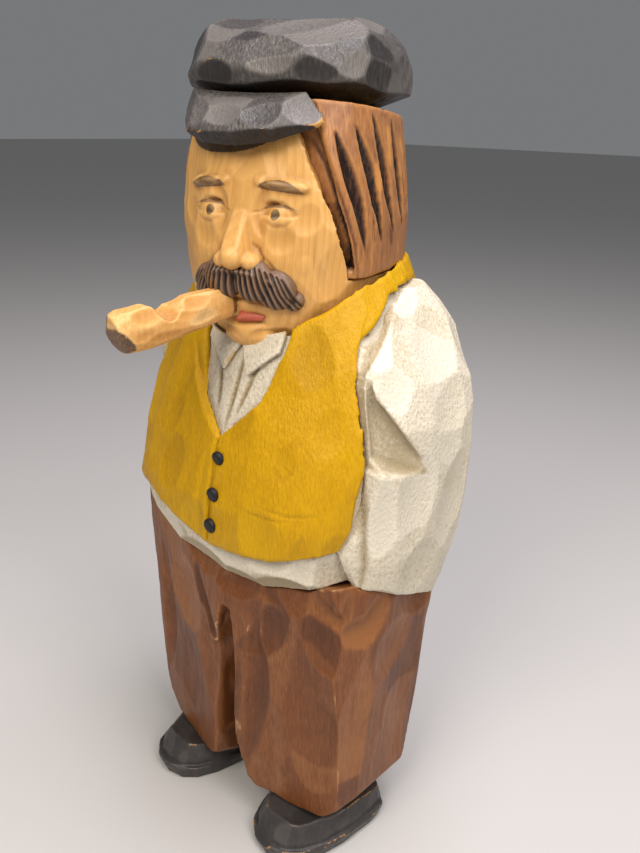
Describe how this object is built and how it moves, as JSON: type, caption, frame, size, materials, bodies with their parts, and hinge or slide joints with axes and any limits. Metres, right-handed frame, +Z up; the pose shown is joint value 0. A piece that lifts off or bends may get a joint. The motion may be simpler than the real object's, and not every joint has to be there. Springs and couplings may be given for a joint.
{
  "type": "carved wooden figurine",
  "caption": "Carved and painted wooden figurine of a standing stout man in a cap and vest, with a pipe that pulls out of his mouth.",
  "frame": {"origin": "middle of the figurine's footprint box, on the floor under the soles", "axes": "+Z up through the cap, -Y the way the figure faces, +X to the figure's own left"},
  "size_m": [0.1056, 0.0976, 0.24],
  "materials": {
    "black_paint": "wood under thin matt black paint, worn to bare wood on the edges",
    "hair_stain": "brown stain and varnish, streaked, knife-grooved",
    "varnished_wood": "bare pale wood under satin varnish, growth rings showing",
    "moustache_stain": "dark brown stain, knife-fluted",
    "red_paint": "a thin touch of red paint",
    "white_paint": "off-white paint with grey and brown wash left in the cuts",
    "yellow_paint": "yellow ochre paint, satin, brush marks showing",
    "brown_paint": "thin red-brown paint, grain and knife cuts showing",
    "bare_wood": "unpainted knife-cut wood"
  },
  "bodies": {
    "figure": {"cap_crown": "black_paint", "cap_visor": "black_paint", "hair": "hair_stain", "head": "varnished_wood", "moustache": "moustache_stain", "lip": "red_paint", "collar_left": "white_paint", "collar_right": "white_paint", "shirt": "white_paint", "sleeve_left": "white_paint", "sleeve_right": "white_paint", "vest_left": "yellow_paint", "vest_right": "yellow_paint", "vest_back": "yellow_paint", "button_top": "black_paint", "button_middle": "black_paint", "button_bottom": "black_paint", "trousers": "brown_paint", "shoe_left": "black_paint", "shoe_right": "black_paint"},
    "pipe": {"pipe": "bare_wood"}
  },
  "joints": [
    {"name": "pipe_pull", "type": "slide", "parent": "figure", "child": "pipe", "axis": [-0.0346, -0.9919, -0.1219], "range_m": [0, 0.015]}
  ]
}
